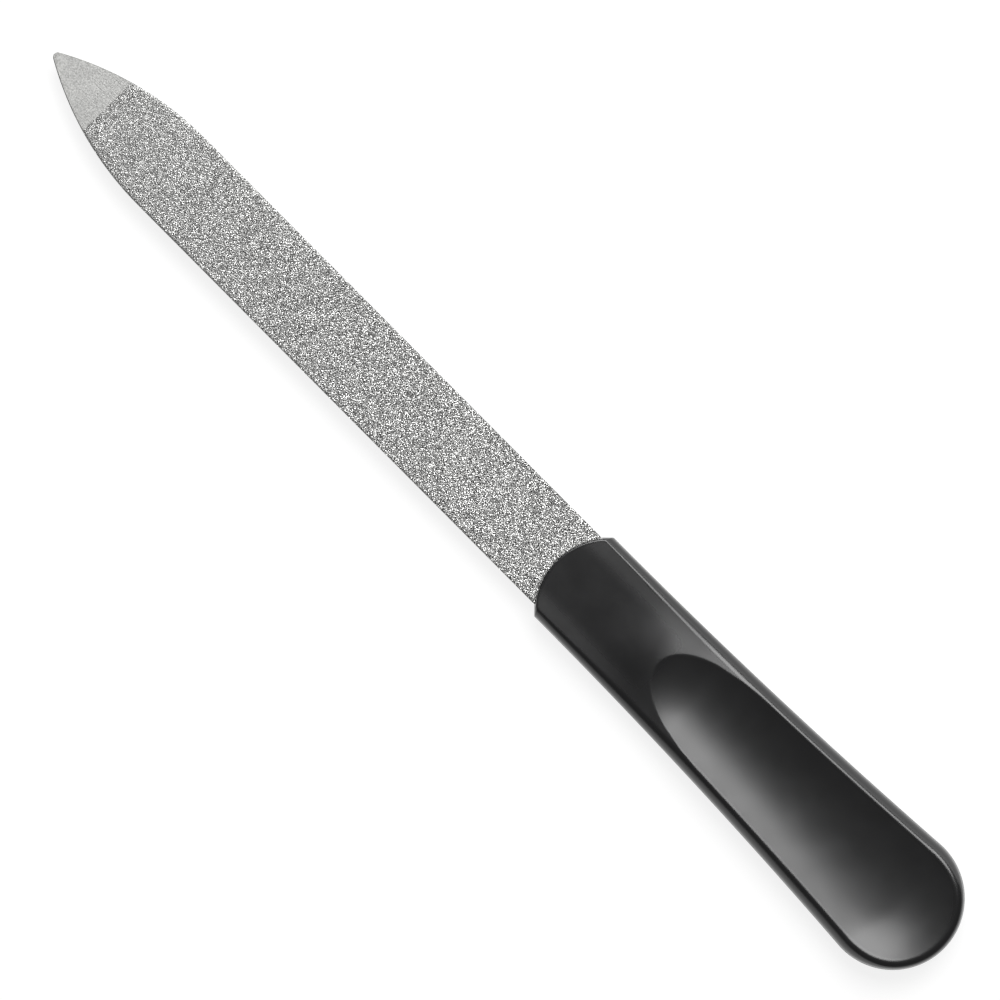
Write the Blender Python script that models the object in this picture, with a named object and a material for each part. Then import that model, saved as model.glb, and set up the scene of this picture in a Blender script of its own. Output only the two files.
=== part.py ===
"""A sapphire nail file: a stamped steel blank, a grit coat bonded to each of its faces, and a
plastic handle moulded round the blank's tang, with a thumb scoop in each of the handle's faces.

Metres. +X runs from the butt of the handle to the point of the blade, +Z is the normal of one
grit face, and the origin is the middle of the whole file, in the mid-plane of the blade."""

import math

import bmesh
import bpy

# Lengths along the file
EXPOSED_LENGTH = 0.09025  # blade that stands out of the handle
HANDLE_LENGTH = 0.06975

# Blade, the flat part of the stamped blank
BLADE_WIDTH = 0.0120
BLADE_THICKNESS = 0.0010
OGIVE_RADIUS = 0.0420  # of the two arcs that draw the blade in to its point
NOSE_RADIUS = 0.0006
BARE_TIP_LENGTH = 0.0095  # left without grit
TIP_THICKNESS = 0.0006  # of the bare tip at its very point
EDGE_BREAK = 0.0001  # chamfer round both faces of the blank

# Tang, the part of the blank inside the handle
SHOULDER_SETBACK = 0.00775  # from the front of the handle to the shoulders
SHOULDER_WIDTH = 0.0014  # step from the blade's edge in to the tang's edge
TANG_REACH = 0.04825  # from the front of the handle to the end of the tang
TANG_CORNER_RADIUS = 0.0020
LOCKING_HOLE_DIAMETER = 0.0040
LOCKING_HOLE_PITCH = 0.0130
LOCKING_HOLE_INSET = 0.0065  # from the end of the tang to the last hole's centre
LOCKING_HOLE_COUNT = 3

# Grit coats
COAT_THICKNESS = 0.0002
COAT_MARGIN = 0.0001  # steel left clear round the coat
COAT_TUCK = 0.00345  # length of coat under the lips of the handle

# Clearances
BOND_GAP = 0.00004  # between the blank and a coat
MOULD_GAP = 0.00005  # between the plastic and what it is moulded round

# Handle, seen from above
ARCH_RADIUS = 0.0095  # of the lips' front edge
SIDE_WALL = 0.0011  # beyond the blade's edge, just behind the 45 degree corners
BUTT_RADIUS = 0.00912

# Width in plan of the handle's leaning walls, parting line to top edge
LIP_INSET = 0.0003  # in front
FRONT_BAND = 0.00095  # at the side, by the 45 degree corners
SIDE_BAND = 0.00131  # along the scoop
END_BAND = 0.00079  # at the butt's end
BAND_GROWTH_LENGTH = 0.0320  # behind the corners, over which the side band widens
BAND_END_DEGREES = 50.0  # round the butt, over which it narrows again
WALL_LEAN_DEGREES = 4.5  # draft of the wall under the round shoulder
SHOULDER_LEAN_DEGREES = 60.0  # lean of the shoulder where it ends in the top edge

# Handle, seen from the side
LIP_WALL = 0.0015  # plastic over the coat
LAND_LENGTH = 0.00775  # flat land behind the front edge
SWELL_LENGTH = 0.0130  # behind the land, over which the face gains its crown
CROWN_HEIGHT = 0.00045  # of the face's middle over its side edges
EDGE_DIP = 0.00015  # of those edges under the land, before they climb to the scoop's rim

# Thumb scoops
SCOOP_SETBACK = 0.0185  # from the front of the handle to the front of a scoop
SCOOP_NOSE_LENGTH = 0.00655  # over which the floor drops from the crown
RIM_SETBACK = 0.03265  # from the front of the handle to where the scoop fills its width
SCOOP_FLOOR_WALL = 0.0012  # plastic between the scoop's floor and the tang
FLOOR_CLIMB = 0.0004  # of the floor, from the nose to the butt
FRONT_TROUGH_RADIUS = 0.0220  # of the scoop's cross-section
REAR_TROUGH_RADIUS = 0.0380
TROUGH_GROWTH_LENGTH = 0.0387  # behind the nose, over which the first grows to the second
BOWL_SETBACK = 0.0200  # from the butt's end to the centre that the bowl is turned about
BOWL_REACH = 0.0120  # from that centre to where the bowl starts to climb
BOWL_SLOPE_SHARE = 0.12  # climb of the bowl over its length
BOWL_EASE = 0.0012  # roundness of its start
BROW_REACH = 0.0165  # from that centre to where the bowl's brow levels out
BROW_SLOPE_SHARE = 0.05  # by which the climb lessens there
BROW_EASE = 0.0020  # roundness of that change
RIM_STOCK = 0.0001  # height of the uncut blank over the scoop's rim
STOCK_LENGTH = 0.0058  # over which that stock comes in
OVERRUN = 0.0030  # of every cutter past what it cuts
WELD_DISTANCE = 0.0000005  # under which two points of the skin are one

# Counts of flat steps on round stretches
NOSE_STEPS = 6
OGIVE_STEPS = 14
TANG_CORNER_STEPS = 6
HOLE_STEPS = 28
ARCH_STEPS = 9
LAND_STEPS = 2
SWELL_STEPS = 7
FLANK_STEPS = 7
SIDE_STEPS = 10
BUTT_STEPS = 14
BAND_STEPS = 5
CROWN_STEPS = 7
SCOOP_NOSE_STEPS = 12
SCOOP_TROUGH_STEPS = 10
SCOOP_BOWL_STEPS = 9
SCOOP_HALF_STEPS = 9
JOIN_ROUNDS = 8  # of closing in on where the side meets the butt
SHARP_DEGREES = 25.0

# Places worked out from the sizes above
TIP_X = (EXPOSED_LENGTH + HANDLE_LENGTH) / 2
BUTT_X = TIP_X - EXPOSED_LENGTH - HANDLE_LENGTH
FRONT_X = TIP_X - EXPOSED_LENGTH
BARE_TIP_X = TIP_X - BARE_TIP_LENGTH
BLADE_HALF = BLADE_WIDTH / 2
FACE_Z = BLADE_THICKNESS / 2
SHOULDER_X = FRONT_X - SHOULDER_SETBACK
TANG_HALF = BLADE_HALF - SHOULDER_WIDTH
TANG_END_X = FRONT_X - TANG_REACH
COAT_BASE_Z = FACE_Z + BOND_GAP
COAT_TOP_Z = COAT_BASE_Z + COAT_THICKNESS
COAT_REAR_X = FRONT_X - COAT_TUCK
FRONT_RISE = COAT_TOP_Z + MOULD_GAP + LIP_WALL
FRONT_HALF = BLADE_HALF + SIDE_WALL
ARCH_END_ANGLE = math.asin(BLADE_HALF / ARCH_RADIUS)
CORNER_X = FRONT_X - ARCH_RADIUS * (1 - math.cos(ARCH_END_ANGLE)) - SIDE_WALL
LAND_X = FRONT_X - LAND_LENGTH
CROWN_X = LAND_X - SWELL_LENGTH
SCOOP_FRONT_X = FRONT_X - SCOOP_SETBACK
TROUGH_X = SCOOP_FRONT_X - SCOOP_NOSE_LENGTH
RIM_X = FRONT_X - RIM_SETBACK
BOWL_CENTRE_X = BUTT_X + BOWL_SETBACK
BOWL_X = BOWL_CENTRE_X - BOWL_REACH
BUTT_CENTRE_X = BUTT_X + BUTT_RADIUS
SCOOP_FLOOR_Z = FACE_Z + MOULD_GAP + SCOOP_FLOOR_WALL
BAND_END_ANGLE = math.radians(BAND_END_DEGREES)
WALL_LEAN = math.radians(WALL_LEAN_DEGREES)
SHOULDER_LEAN = math.radians(SHOULDER_LEAN_DEGREES)


# Small helpers


def clear_scene():
    for obj in list(bpy.data.objects):
        bpy.data.objects.remove(obj, do_unlink=True)


def material(name, colour, roughness, metallic):
    found = bpy.data.materials.new(name)
    found.use_nodes = True
    shader = found.node_tree.nodes["Principled BSDF"]
    shader.inputs["Base Color"].default_value = (*colour, 1.0)
    shader.inputs["Roughness"].default_value = roughness
    shader.inputs["Metallic"].default_value = metallic
    return found


def add_object(name, bm, finish=None):
    """The bmesh as a scene object. Without a finish it is a hidden cutter."""
    mesh = bpy.data.meshes.new(name)
    bm.to_mesh(mesh)
    bm.free()
    obj = bpy.data.objects.new(name, mesh)
    bpy.context.scene.collection.objects.link(obj)
    if finish is None:
        obj.hide_render = True
        obj.display_type = "WIRE"
    else:
        mesh.materials.append(finish)
        mesh.shade_smooth()
        mesh.set_sharp_from_angle(angle=math.radians(SHARP_DEGREES))
    return obj


def cut(obj, cutter):
    boolean = obj.modifiers.new("cut " + cutter.name, "BOOLEAN")
    boolean.operation = "DIFFERENCE"
    boolean.solver = "EXACT"
    boolean.object = cutter


def spaced(start, end, steps):
    """Places from just past the start to the end, evenly spaced."""
    return [start + (end - start) * k / steps for k in range(1, steps + 1)]


def eased(share):
    """A share from 0 to 1 that starts and ends level."""
    held = min(max(share, 0.0), 1.0)
    return held * held * (3 - 2 * held)


def arc_rise(radius, distance):
    """Height of a circular arc over its lowest point, this far to one side."""
    return radius - math.sqrt(radius * radius - distance * distance)


def ramp(past, slope, ease):
    """Height of a climb that starts softly, this far past its start."""
    return slope * (past + math.hypot(past, ease)) / 2


def arc_radius(length, rise):
    """Radius of the arc that starts level and rises this much over this length."""
    return (length * length + rise * rise) / (2 * rise)


def whole_outline(half):
    """A half outline, from the axis round to the axis again, with its mirror image."""
    return half + [(x, -y) for x, y in reversed(half) if y > 0]


def offset_outline(points, distance):
    """A closed outline moved inwards, or outwards where the distance is negative."""
    moved = []
    for k, (x, y) in enumerate(points):
        before = points[k - 1]
        after = points[(k + 1) % len(points)]
        first = edge_normal(before, (x, y))
        second = edge_normal((x, y), after)
        reach = distance / (1 + first[0] * second[0] + first[1] * second[1])
        moved.append((x - reach * (first[0] + second[0]), y - reach * (first[1] + second[1])))
    return moved


def edge_normal(start, end):
    """Outward normal of an edge whose outline runs anticlockwise, from the nose over +Y."""
    across = (end[1] - start[1], start[0] - end[0])
    length = math.hypot(*across)
    return across[0] / length, across[1] / length


def stacked_prism(rings):
    """A solid through rings of equal count, lowest first, each a list of (x, y, z)."""
    bm = bmesh.new()
    loops = [[bm.verts.new(point) for point in ring] for ring in rings]
    count = len(loops[0])
    for low, high in zip(loops, loops[1:]):
        for k in range(count):
            after = (k + 1) % count
            bm.faces.new((low[k], low[after], high[after], high[k]))
    return bm, loops


def flat_prism(outline, low, high):
    bm, loops = stacked_prism([[(x, y, z) for x, y in outline] for z in (low, high)])
    bm.faces.new(list(reversed(loops[0])))
    bm.faces.new(loops[1])
    return bm


# Blank


def ogive_half():
    """Half outline of the blade from the point of the nose to where its sides run straight."""
    centre_drop = OGIVE_RADIUS - BLADE_HALF
    nose_reach = math.sqrt((OGIVE_RADIUS - NOSE_RADIUS) ** 2 - centre_drop**2)
    nose_x = TIP_X - NOSE_RADIUS
    side_x = nose_x - nose_reach
    meeting = math.atan2(centre_drop, nose_reach)
    points = [(TIP_X, 0.0)]
    for angle in spaced(0.0, meeting, NOSE_STEPS):
        points.append((nose_x + NOSE_RADIUS * math.cos(angle), NOSE_RADIUS * math.sin(angle)))
    for angle in spaced(meeting, math.pi / 2, OGIVE_STEPS):
        x = side_x + OGIVE_RADIUS * math.cos(angle)
        points.append((x, OGIVE_RADIUS * math.sin(angle) - centre_drop))
    return points


def cross_at(points, x_cut):
    """The place where a half outline that runs towards -X passes the line x = x_cut."""
    for (x1, y1), (x2, y2) in zip(points, points[1:]):
        if x1 > x_cut >= x2:
            share = (x1 - x_cut) / (x1 - x2)
            return x_cut, y1 + share * (y2 - y1)
    return points[-1]


def tang_half():
    """Half outline of the blank from its shoulders to the end of the tang."""
    corner_x = TANG_END_X + TANG_CORNER_RADIUS
    corner_y = TANG_HALF - TANG_CORNER_RADIUS
    points = [(SHOULDER_X, BLADE_HALF), (SHOULDER_X - SHOULDER_WIDTH, TANG_HALF)]
    points.append((corner_x, TANG_HALF))
    for angle in spaced(0.0, math.pi / 2, TANG_CORNER_STEPS):
        x = corner_x - TANG_CORNER_RADIUS * math.sin(angle)
        points.append((x, corner_y + TANG_CORNER_RADIUS * math.cos(angle)))
    return points


def blank_face_z(x):
    """Height of the blank's upper face: level, then drawn down over the bare tip."""
    share = max(0.0, (x - BARE_TIP_X) / BARE_TIP_LENGTH)
    return FACE_Z - share * (BLADE_THICKNESS - TIP_THICKNESS) / 2


def blank_body():
    """The blank with chamfered faces, each split where the bare tip starts to thin."""
    ogive = ogive_half()
    split = cross_at(ogive, BARE_TIP_X)
    front = [point for point in ogive if point[0] > BARE_TIP_X]
    rest = [point for point in ogive if point[0] < BARE_TIP_X]
    outline = whole_outline(front + [split] + rest + tang_half())
    inner = offset_outline(outline, EDGE_BREAK)
    inner[len(front)] = (BARE_TIP_X, inner[len(front)][1])
    inner[-len(front)] = (BARE_TIP_X, inner[-len(front)][1])
    lower_face = [(x, y, -blank_face_z(x)) for x, y in inner]
    lower_edge = [(x, y, EDGE_BREAK - blank_face_z(x)) for x, y in outline]
    upper_edge = [(x, y, blank_face_z(x) - EDGE_BREAK) for x, y in outline]
    upper_face = [(x, y, blank_face_z(x)) for x, y in inner]
    bm, loops = stacked_prism([lower_face, lower_edge, upper_edge, upper_face])
    for loop, upward in ((loops[0], False), (loops[3], True)):
        tip_face = loop[: len(front) + 1] + loop[-len(front) :]
        main_face = loop[len(front) : len(loop) - len(front) + 1]
        for face in (tip_face, main_face):
            bm.faces.new(face if upward else list(reversed(face)))
    return bm


def locking_cylinders(radius):
    """A cylinder for each locking hole of the tang, as one mesh."""
    bm = bmesh.new()
    for k in range(LOCKING_HOLE_COUNT):
        x = TANG_END_X + LOCKING_HOLE_INSET + k * LOCKING_HOLE_PITCH
        made = bmesh.ops.create_cone(
            bm,
            cap_ends=True,
            segments=HOLE_STEPS,
            radius1=radius,
            radius2=radius,
            depth=BLADE_THICKNESS + 2 * OVERRUN,
        )
        bmesh.ops.translate(bm, verts=made["verts"], vec=(x, 0.0, 0.0))
    return bm


def make_blade(finish):
    blade = add_object("blade", blank_body(), finish)
    holes = locking_cylinders(LOCKING_HOLE_DIAMETER / 2)
    cut(blade, add_object("locking_hole_cutter", holes))
    return blade


# Grit coats


def coat_outline():
    """Outline of a coat: straight across at the bare tip, then along the blade's edges."""
    ogive = [point for point in ogive_half() if point[0] < BARE_TIP_X - 2 * COAT_MARGIN]
    front = cross_at(ogive_half(), BARE_TIP_X)
    half = [front] + ogive + [(COAT_REAR_X - COAT_MARGIN, BLADE_HALF)]
    return offset_outline(whole_outline(half), COAT_MARGIN)


def make_coat(name, side, finish):
    low, high = sorted((side * COAT_BASE_Z, side * COAT_TOP_Z))
    return add_object(name, flat_prism(coat_outline(), low, high), finish)


# Handle


def swelling(x):
    """How far the face has gained its crown at x, from 0 at the land to 1."""
    return eased((LAND_X - x) / SWELL_LENGTH)


def scoop_nose_radius():
    """Radius, along the handle, of the arc that brings the floor up to the crown."""
    crown_top = FRONT_RISE + (CROWN_HEIGHT - EDGE_DIP) * swelling(SCOOP_FRONT_X)
    return arc_radius(SCOOP_NOSE_LENGTH, crown_top - SCOOP_FLOOR_Z)


def trough_radius(x):
    """Radius of the scoop's cross-section: its inverse eases from the front's to the rear's."""
    growth = eased((TROUGH_X - x) / TROUGH_GROWTH_LENGTH)
    return 1 / ((1 - growth) / FRONT_TROUGH_RADIUS + growth / REAR_TROUGH_RADIUS)


def scoop_height(x, y):
    """Height of the scoop's surface: a climbing trough, a short arc up at its nose, and a bowl
    at its rear, whose climb starts on a circle round the bowl's centre and lessens at its brow."""
    behind = max(0.0, TROUGH_X - x)
    ahead = max(0.0, x - TROUGH_X)
    height = SCOOP_FLOOR_Z + FLOOR_CLIMB * behind / (TROUGH_X - BUTT_X)
    height += arc_rise(trough_radius(x), y) + arc_rise(scoop_nose_radius(), ahead)
    out = math.hypot(max(0.0, BOWL_CENTRE_X - x), y)
    height += ramp(out - BOWL_REACH, BOWL_SLOPE_SHARE, BOWL_EASE)
    return height - ramp(out - BROW_REACH, BROW_SLOPE_SHARE, BROW_EASE)


def butt_join_angle():
    """Angle ahead of square at which the side's curve runs into the round butt."""
    angle = 0.0
    for _ in range(JOIN_ROUNDS):
        widening = BUTT_RADIUS * math.cos(angle) - FRONT_HALF
        length = CORNER_X - BUTT_CENTRE_X - BUTT_RADIUS * math.sin(angle)
        angle = math.atan2(2 * widening, length)
    return angle


def side_place(x):
    """The side in the parting plane: place, outward normal and width of the leaning band."""
    join = butt_join_angle()
    length = CORNER_X - BUTT_CENTRE_X - BUTT_RADIUS * math.sin(join)
    widening = BUTT_RADIUS * math.cos(join) - FRONT_HALF
    share = (CORNER_X - x) / length
    slope = math.atan2(2 * widening * share, length)
    band = FRONT_BAND + (SIDE_BAND - FRONT_BAND) * eased((CORNER_X - x) / BAND_GROWTH_LENGTH)
    return x, FRONT_HALF + widening * share**2, math.sin(slope), math.cos(slope), band


def silhouette_half():
    """Half outline of the handle in its parting plane, from the front's middle to the butt's:
    for each point its place, outward normal and width of the leaning wall."""
    arch_centre_x = FRONT_X - ARCH_RADIUS
    points = []
    for angle in [0.0] + spaced(0.0, ARCH_END_ANGLE, ARCH_STEPS):
        ahead, aside = math.cos(angle), math.sin(angle)
        place = (arch_centre_x + ARCH_RADIUS * ahead, ARCH_RADIUS * aside)
        points.append((*place, ahead, aside, LIP_INSET))
    join = butt_join_angle()
    stations = [CORNER_X] + spaced(CORNER_X, LAND_X, LAND_STEPS)
    stations += spaced(LAND_X, SCOOP_FRONT_X, SWELL_STEPS)
    stations += spaced(SCOOP_FRONT_X, RIM_X, FLANK_STEPS)
    stations += spaced(RIM_X, BUTT_CENTRE_X + BUTT_RADIUS * math.sin(join), SIDE_STEPS)
    points += [side_place(x) for x in stations]
    for angle in spaced(join, -math.pi / 2, BUTT_STEPS):
        ahead, aside = math.sin(angle), max(0.0, math.cos(angle))
        band = SIDE_BAND + (END_BAND - SIDE_BAND) * eased(-angle / BAND_END_ANGLE)
        place = (BUTT_CENTRE_X + BUTT_RADIUS * ahead, BUTT_RADIUS * aside)
        points.append((*place, ahead, aside, band))
    points[-1] = (BUTT_X, 0.0, -1.0, 0.0, END_BAND)
    return points


def edge_height(x, y):
    """Height of the uncut handle's top edge at x, y: level over the land, eased down by the dip,
    up again to the scoop's rim, and behind that just over the scoop's surface."""
    if x < RIM_X:
        stock = min(1.0, (RIM_X - x) / STOCK_LENGTH)
        return scoop_height(x, y) + RIM_STOCK * stock
    rim_x, rim_y, ahead, aside, band = side_place(RIM_X)
    rim = scoop_height(rim_x - band * ahead, rim_y - band * aside)
    climb = (rim - FRONT_RISE + EDGE_DIP) * eased((CROWN_X - x) / (CROWN_X - RIM_X))
    return FRONT_RISE - EDGE_DIP * swelling(x) + climb


def handle_ribs():
    """For each point of the silhouette, its foot, its top edge point and the edge's height."""
    ribs = []
    for x, y, ahead, aside, band in silhouette_half():
        if x == CORNER_X:
            # where the leaning 45 degree wall meets the leaning side
            top = (x - LIP_INSET * math.sqrt(2) + band, y - band)
        else:
            top = (x - band * ahead, y - band * aside)
        ribs.append(((x, y), top, edge_height(*top)))
    return ribs


def rib_points(foot, top, height):
    """Up the side band of one rib, a wall at its draft and a round shoulder that ends in the top
    edge, then over the face to the middle: crown times 1 - 2u^2 + u^3, u from 1 at the edge to 0."""
    points = [(*foot, 0.0)]
    band = math.dist(foot, top)
    draft = math.tan(WALL_LEAN)
    reach = math.cos(WALL_LEAN) - math.cos(SHOULDER_LEAN)
    rise = math.sin(SHOULDER_LEAN) - math.sin(WALL_LEAN)
    radius = (band - height * draft) / (reach - rise * draft)
    wall = height - radius * rise
    for angle in [WALL_LEAN] + spaced(WALL_LEAN, SHOULDER_LEAN, BAND_STEPS):
        inward = (wall * draft + radius * (math.cos(WALL_LEAN) - math.cos(angle))) / band
        x = foot[0] + (top[0] - foot[0]) * inward
        y = foot[1] + (top[1] - foot[1]) * inward
        points.append((x, y, wall + radius * (math.sin(angle) - math.sin(WALL_LEAN))))
    crown = CROWN_HEIGHT * swelling(top[0])
    for k in range(1, CROWN_STEPS + 1):
        out = 1 - k / CROWN_STEPS
        points.append((top[0], top[1] * out, height + crown * (1 - 2 * out**2 + out**3)))
    return points


def handle_body():
    """The uncut handle: a quarter of its skin, mirrored over both middle planes."""
    bm = bmesh.new()
    ribs = [rib_points(*rib) for rib in handle_ribs()]
    for mirror_y, mirror_z in ((1, 1), (-1, 1), (1, -1), (-1, -1)):
        grid = [[bm.verts.new((x, y * mirror_y, z * mirror_z)) for x, y, z in rib] for rib in ribs]
        for near, far in zip(grid, grid[1:]):
            for k in range(len(near) - 1):
                bm.faces.new((near[k], far[k], far[k + 1], near[k + 1]))
    bmesh.ops.remove_doubles(bm, verts=bm.verts, dist=WELD_DISTANCE)
    bmesh.ops.dissolve_degenerate(bm, edges=bm.edges, dist=WELD_DISTANCE)
    bmesh.ops.recalc_face_normals(bm, faces=bm.faces)
    return bm


def scoop_cutter(name, side):
    """All that lies outside the scoop's surface on one side of the handle."""
    lengthwise = [SCOOP_FRONT_X + OVERRUN]
    lengthwise += spaced(SCOOP_FRONT_X + OVERRUN, TROUGH_X, SCOOP_NOSE_STEPS)
    lengthwise += spaced(TROUGH_X, BOWL_X, SCOOP_TROUGH_STEPS)
    lengthwise += spaced(BOWL_X, BUTT_X - OVERRUN, SCOOP_BOWL_STEPS)
    reach = BUTT_RADIUS + OVERRUN
    crosswise = [-reach] + spaced(-reach, reach, 2 * SCOOP_HALF_STEPS)
    bm = bmesh.new()
    grid = [[bm.verts.new((x, y, side * scoop_height(x, y))) for y in crosswise] for x in lengthwise]
    for near, far in zip(grid, grid[1:]):
        for k in range(len(near) - 1):
            bm.faces.new((near[k], far[k], far[k + 1], near[k + 1]))
    lifted = bmesh.ops.extrude_face_region(bm, geom=bm.faces[:])["geom"]
    moved = [item for item in lifted if isinstance(item, bmesh.types.BMVert)]
    bmesh.ops.translate(bm, verts=moved, vec=(0.0, 0.0, side * OVERRUN))
    bmesh.ops.recalc_face_normals(bm, faces=bm.faces)
    return add_object(name, bm)


def tang_cutter():
    """The pocket for the blank, with a post of plastic left in each locking hole."""
    half = [(FRONT_X + OVERRUN, 0.0), (FRONT_X + OVERRUN, BLADE_HALF)] + tang_half()
    outline = offset_outline(whole_outline(half), -MOULD_GAP)
    height = FACE_Z + MOULD_GAP
    cutter = add_object("tang_cutter", flat_prism(outline, -height, height))
    posts = locking_cylinders(LOCKING_HOLE_DIAMETER / 2 - MOULD_GAP)
    cut(cutter, add_object("post_cutter", posts))
    return cutter


def mouth_cutter():
    """The wider mouth of that pocket, which takes the rear ends of the coats."""
    half = BLADE_HALF - COAT_MARGIN
    outline = [
        (FRONT_X + OVERRUN, -half),
        (FRONT_X + OVERRUN, half),
        (COAT_REAR_X, half),
        (COAT_REAR_X, -half),
    ]
    height = COAT_TOP_Z + MOULD_GAP
    return add_object("mouth_cutter", flat_prism(offset_outline(outline, -MOULD_GAP), -height, height))


def make_handle(finish):
    handle = add_object("handle", handle_body(), finish)
    cut(handle, scoop_cutter("upper_scoop_cutter", 1))
    cut(handle, scoop_cutter("lower_scoop_cutter", -1))
    cut(handle, tang_cutter())
    cut(handle, mouth_cutter())
    return handle


# Whole file


def main():
    clear_scene()
    satin_steel = material("satin steel", (0.56, 0.56, 0.55), 0.42, 1.0)
    sapphire_grit = material("sapphire grit", (0.40, 0.40, 0.39), 0.70, 0.35)
    black_plastic = material("black moulded plastic", (0.012, 0.012, 0.013), 0.38, 0.0)
    make_blade(satin_steel)
    make_coat("upper_grit_coat", 1, sapphire_grit)
    make_coat("lower_grit_coat", -1, sapphire_grit)
    make_handle(black_plastic)


main()
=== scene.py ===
import math

import bmesh
import bpy
import numpy as np
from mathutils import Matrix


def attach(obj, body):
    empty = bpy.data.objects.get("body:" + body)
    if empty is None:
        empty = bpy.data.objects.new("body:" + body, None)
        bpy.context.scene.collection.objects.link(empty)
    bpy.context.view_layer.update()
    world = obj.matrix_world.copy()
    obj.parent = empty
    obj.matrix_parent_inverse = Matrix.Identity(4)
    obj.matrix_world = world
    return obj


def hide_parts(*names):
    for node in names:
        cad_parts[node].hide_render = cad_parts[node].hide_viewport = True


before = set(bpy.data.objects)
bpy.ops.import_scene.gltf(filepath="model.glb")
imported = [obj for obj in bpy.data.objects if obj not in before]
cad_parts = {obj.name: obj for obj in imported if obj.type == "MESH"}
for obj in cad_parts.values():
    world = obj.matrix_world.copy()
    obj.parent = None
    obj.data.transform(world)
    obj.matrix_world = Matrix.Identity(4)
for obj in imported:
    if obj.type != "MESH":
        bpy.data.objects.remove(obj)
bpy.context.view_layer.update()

# Lengths are in millimetres, and become metres when a mesh is made.
MM = 0.001

# The file's main sizes and places. They are the solids' own, apart from the bowl's and the brow's,
# which are set closer to the real scoop's shading.
TIP_X, FRONT_X, BUTT_X = 80.0, -10.25, -80.0
BLADE_HALF, FACE_Z = 6.0, 0.5
OGIVE_RADIUS, NOSE_RADIUS = 42.0, 0.6
BARE_TIP_X, TIP_FACE_Z = 70.5, 0.3
SHOULDER_X, SHOULDER_WIDTH = -18.0, 1.4
TANG_END_X, TANG_CORNER_RADIUS = -58.5, 2.0
LOCKING_HOLES_X, LOCKING_HOLE_RADIUS = (-52.0, -39.0, -26.0), 2.0
COAT_TOP_Z, COAT_REAR_X = 0.74, -13.7
MOULD_GAP = 0.05
ARCH_RADIUS, SIDE_WALL, FRONT_HALF = 9.5, 1.1, 7.1
BUTT_RADIUS, LIP_INSET = 9.12, 0.3
FRONT_BAND, SIDE_BAND, END_BAND = 0.95, 1.31, 0.79
BAND_GROWTH_LENGTH, BAND_END_ANGLE = 32.0, math.radians(50.0)
WALL_LEAN, SHOULDER_LEAN = math.radians(4.5), math.radians(60.0)
FRONT_RISE, CROWN_HEIGHT, EDGE_DIP = 2.29, 0.45, 0.15
LAND_X, CROWN_X, RIM_X = -18.0, -31.0, -42.9
SCOOP_FRONT_X, TROUGH_X = -28.75, -35.3
SCOOP_FLOOR_Z, FLOOR_CLIMB = 1.75, 0.4
FRONT_TROUGH_RADIUS, REAR_TROUGH_RADIUS, TROUGH_GROWTH_LENGTH = 22.0, 38.0, 38.7
BOWL_CENTRE_X, BOWL_REACH, BOWL_SLOPE, BOWL_EASE = -53.3, 18.6, 0.12, 1.2
BROW_REACH, BROW_SLOPE, BROW_EASE = 23.1, 0.08, 1.5
FLOOR_Z, FLOOR_HALF = -3.35, 3000.0  # of the board under the file

ARCH_END = math.asin(BLADE_HALF / ARCH_RADIUS)
ARCH_END_X = FRONT_X - ARCH_RADIUS * (1 - math.cos(ARCH_END))
CORNER_X = ARCH_END_X - SIDE_WALL
BUTT_CENTRE_X = BUTT_X + BUTT_RADIUS

# Forms of the blank that only show close up
EDGE_ROUND = 0.09  # of the tumbled blank
SUPPORT = 0.06  # a flat strip beside each rounding
NARROWEST_ROUND, NARROWEST_SUPPORT = 0.6, 0.4  # at the very point, of the half width left there
NOSE_START_ANGLE = 0.08  # of the first ring round the nose, which would else be a point
POINT_REAR_X, SIDES_FRONT_X = 61.0, 60.0
NOSE_TO_POINT, SHOULDER_TO_TANG = 0.3, 2.0  # gaps between evenly spaced runs of rings
CORNER_TURN = (0.12, 1.5)  # first and last ring round the tang's corners, in radians

# Forms of the handle that only show close up
FRONT_CREASE_ROUND, CREASE_ROUND, BUTT_CREASE_ROUND = 0.14, 0.35, 0.5  # along each face
BUTT_CREASE_X, BUTT_CREASE_GROWTH_LENGTH = -66.0, 10.0
CORNER_ROUND = 0.25
TOP_CORNER_REACH, TOP_CORNER_FADE_LENGTH = 0.12, 4.0
SCOOP_EDGE_SOFTNESS = 0.03
SCOOP_NOSE_AHEAD, SCOOP_NOSE_BEHIND = 1.5, 2.5  # stretch with close ribs at the scoop's front
FACE_CLIMB = 0.15  # of the crowned face behind the rim's start, out of the scoop's way
FACE_CROWDING = 1.15  # power that brings the face's points closer together near its edge
TANG_END_HOLD = 0.02  # in front of the tang's end, where the blank still has its width
RIDGE_SET_IN = 0.012
PARTING_RIDGE = 0.02
PARTING_RIDGE_HALF = 0.04

# The line in the handle's middle at which the ribs of both sides meet
FRONT_SPINE_X, LAND_SPINE_X, NECK_SPINE_X, GRIP_SPINE_X = -15.8, -16.8, -30.0, -60.0
JOIN_SPINE_X, BUTT_SPINE_X = -67.5, -73.0

# Grit: the bond's height, and what the grains, the rims and the wandering edges add or take
BOND_Z, GRAIN_RISE = 0.65, 0.065
FINEST_GRAIN, COARSENING_X, COARSENING_LENGTH = 0.55, 70.0, 60.0
RIM_BEVEL, RIM_FALL = 0.25, 0.05  # width and drop of the coat's thinning rim
FRONT_SET_BACK, FRONT_WANDER, SIDE_WANDER = 0.05, 0.24, 0.05
FRONT_UNDERCUT = 0.3  # of the coat's front edge, so that its first grains stand free
BOND_CLEARANCE = 0.005  # between the steel and the coat's underside
COAT_STEP = 0.1015
GRAIN_SHIFT = 0.6  # of a step, at most half of it each way
# Painted shade and light at the coat's edges: the grains' tone is darkened towards the rim and on
# the side walls, and the end walls are painted lighter
RIM_PAINTED_SHADE, SIDE_WALL_PAINTED_SHADE, END_WALL_PAINTED_LIGHT = 0.8, 0.3, 0.6

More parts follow.
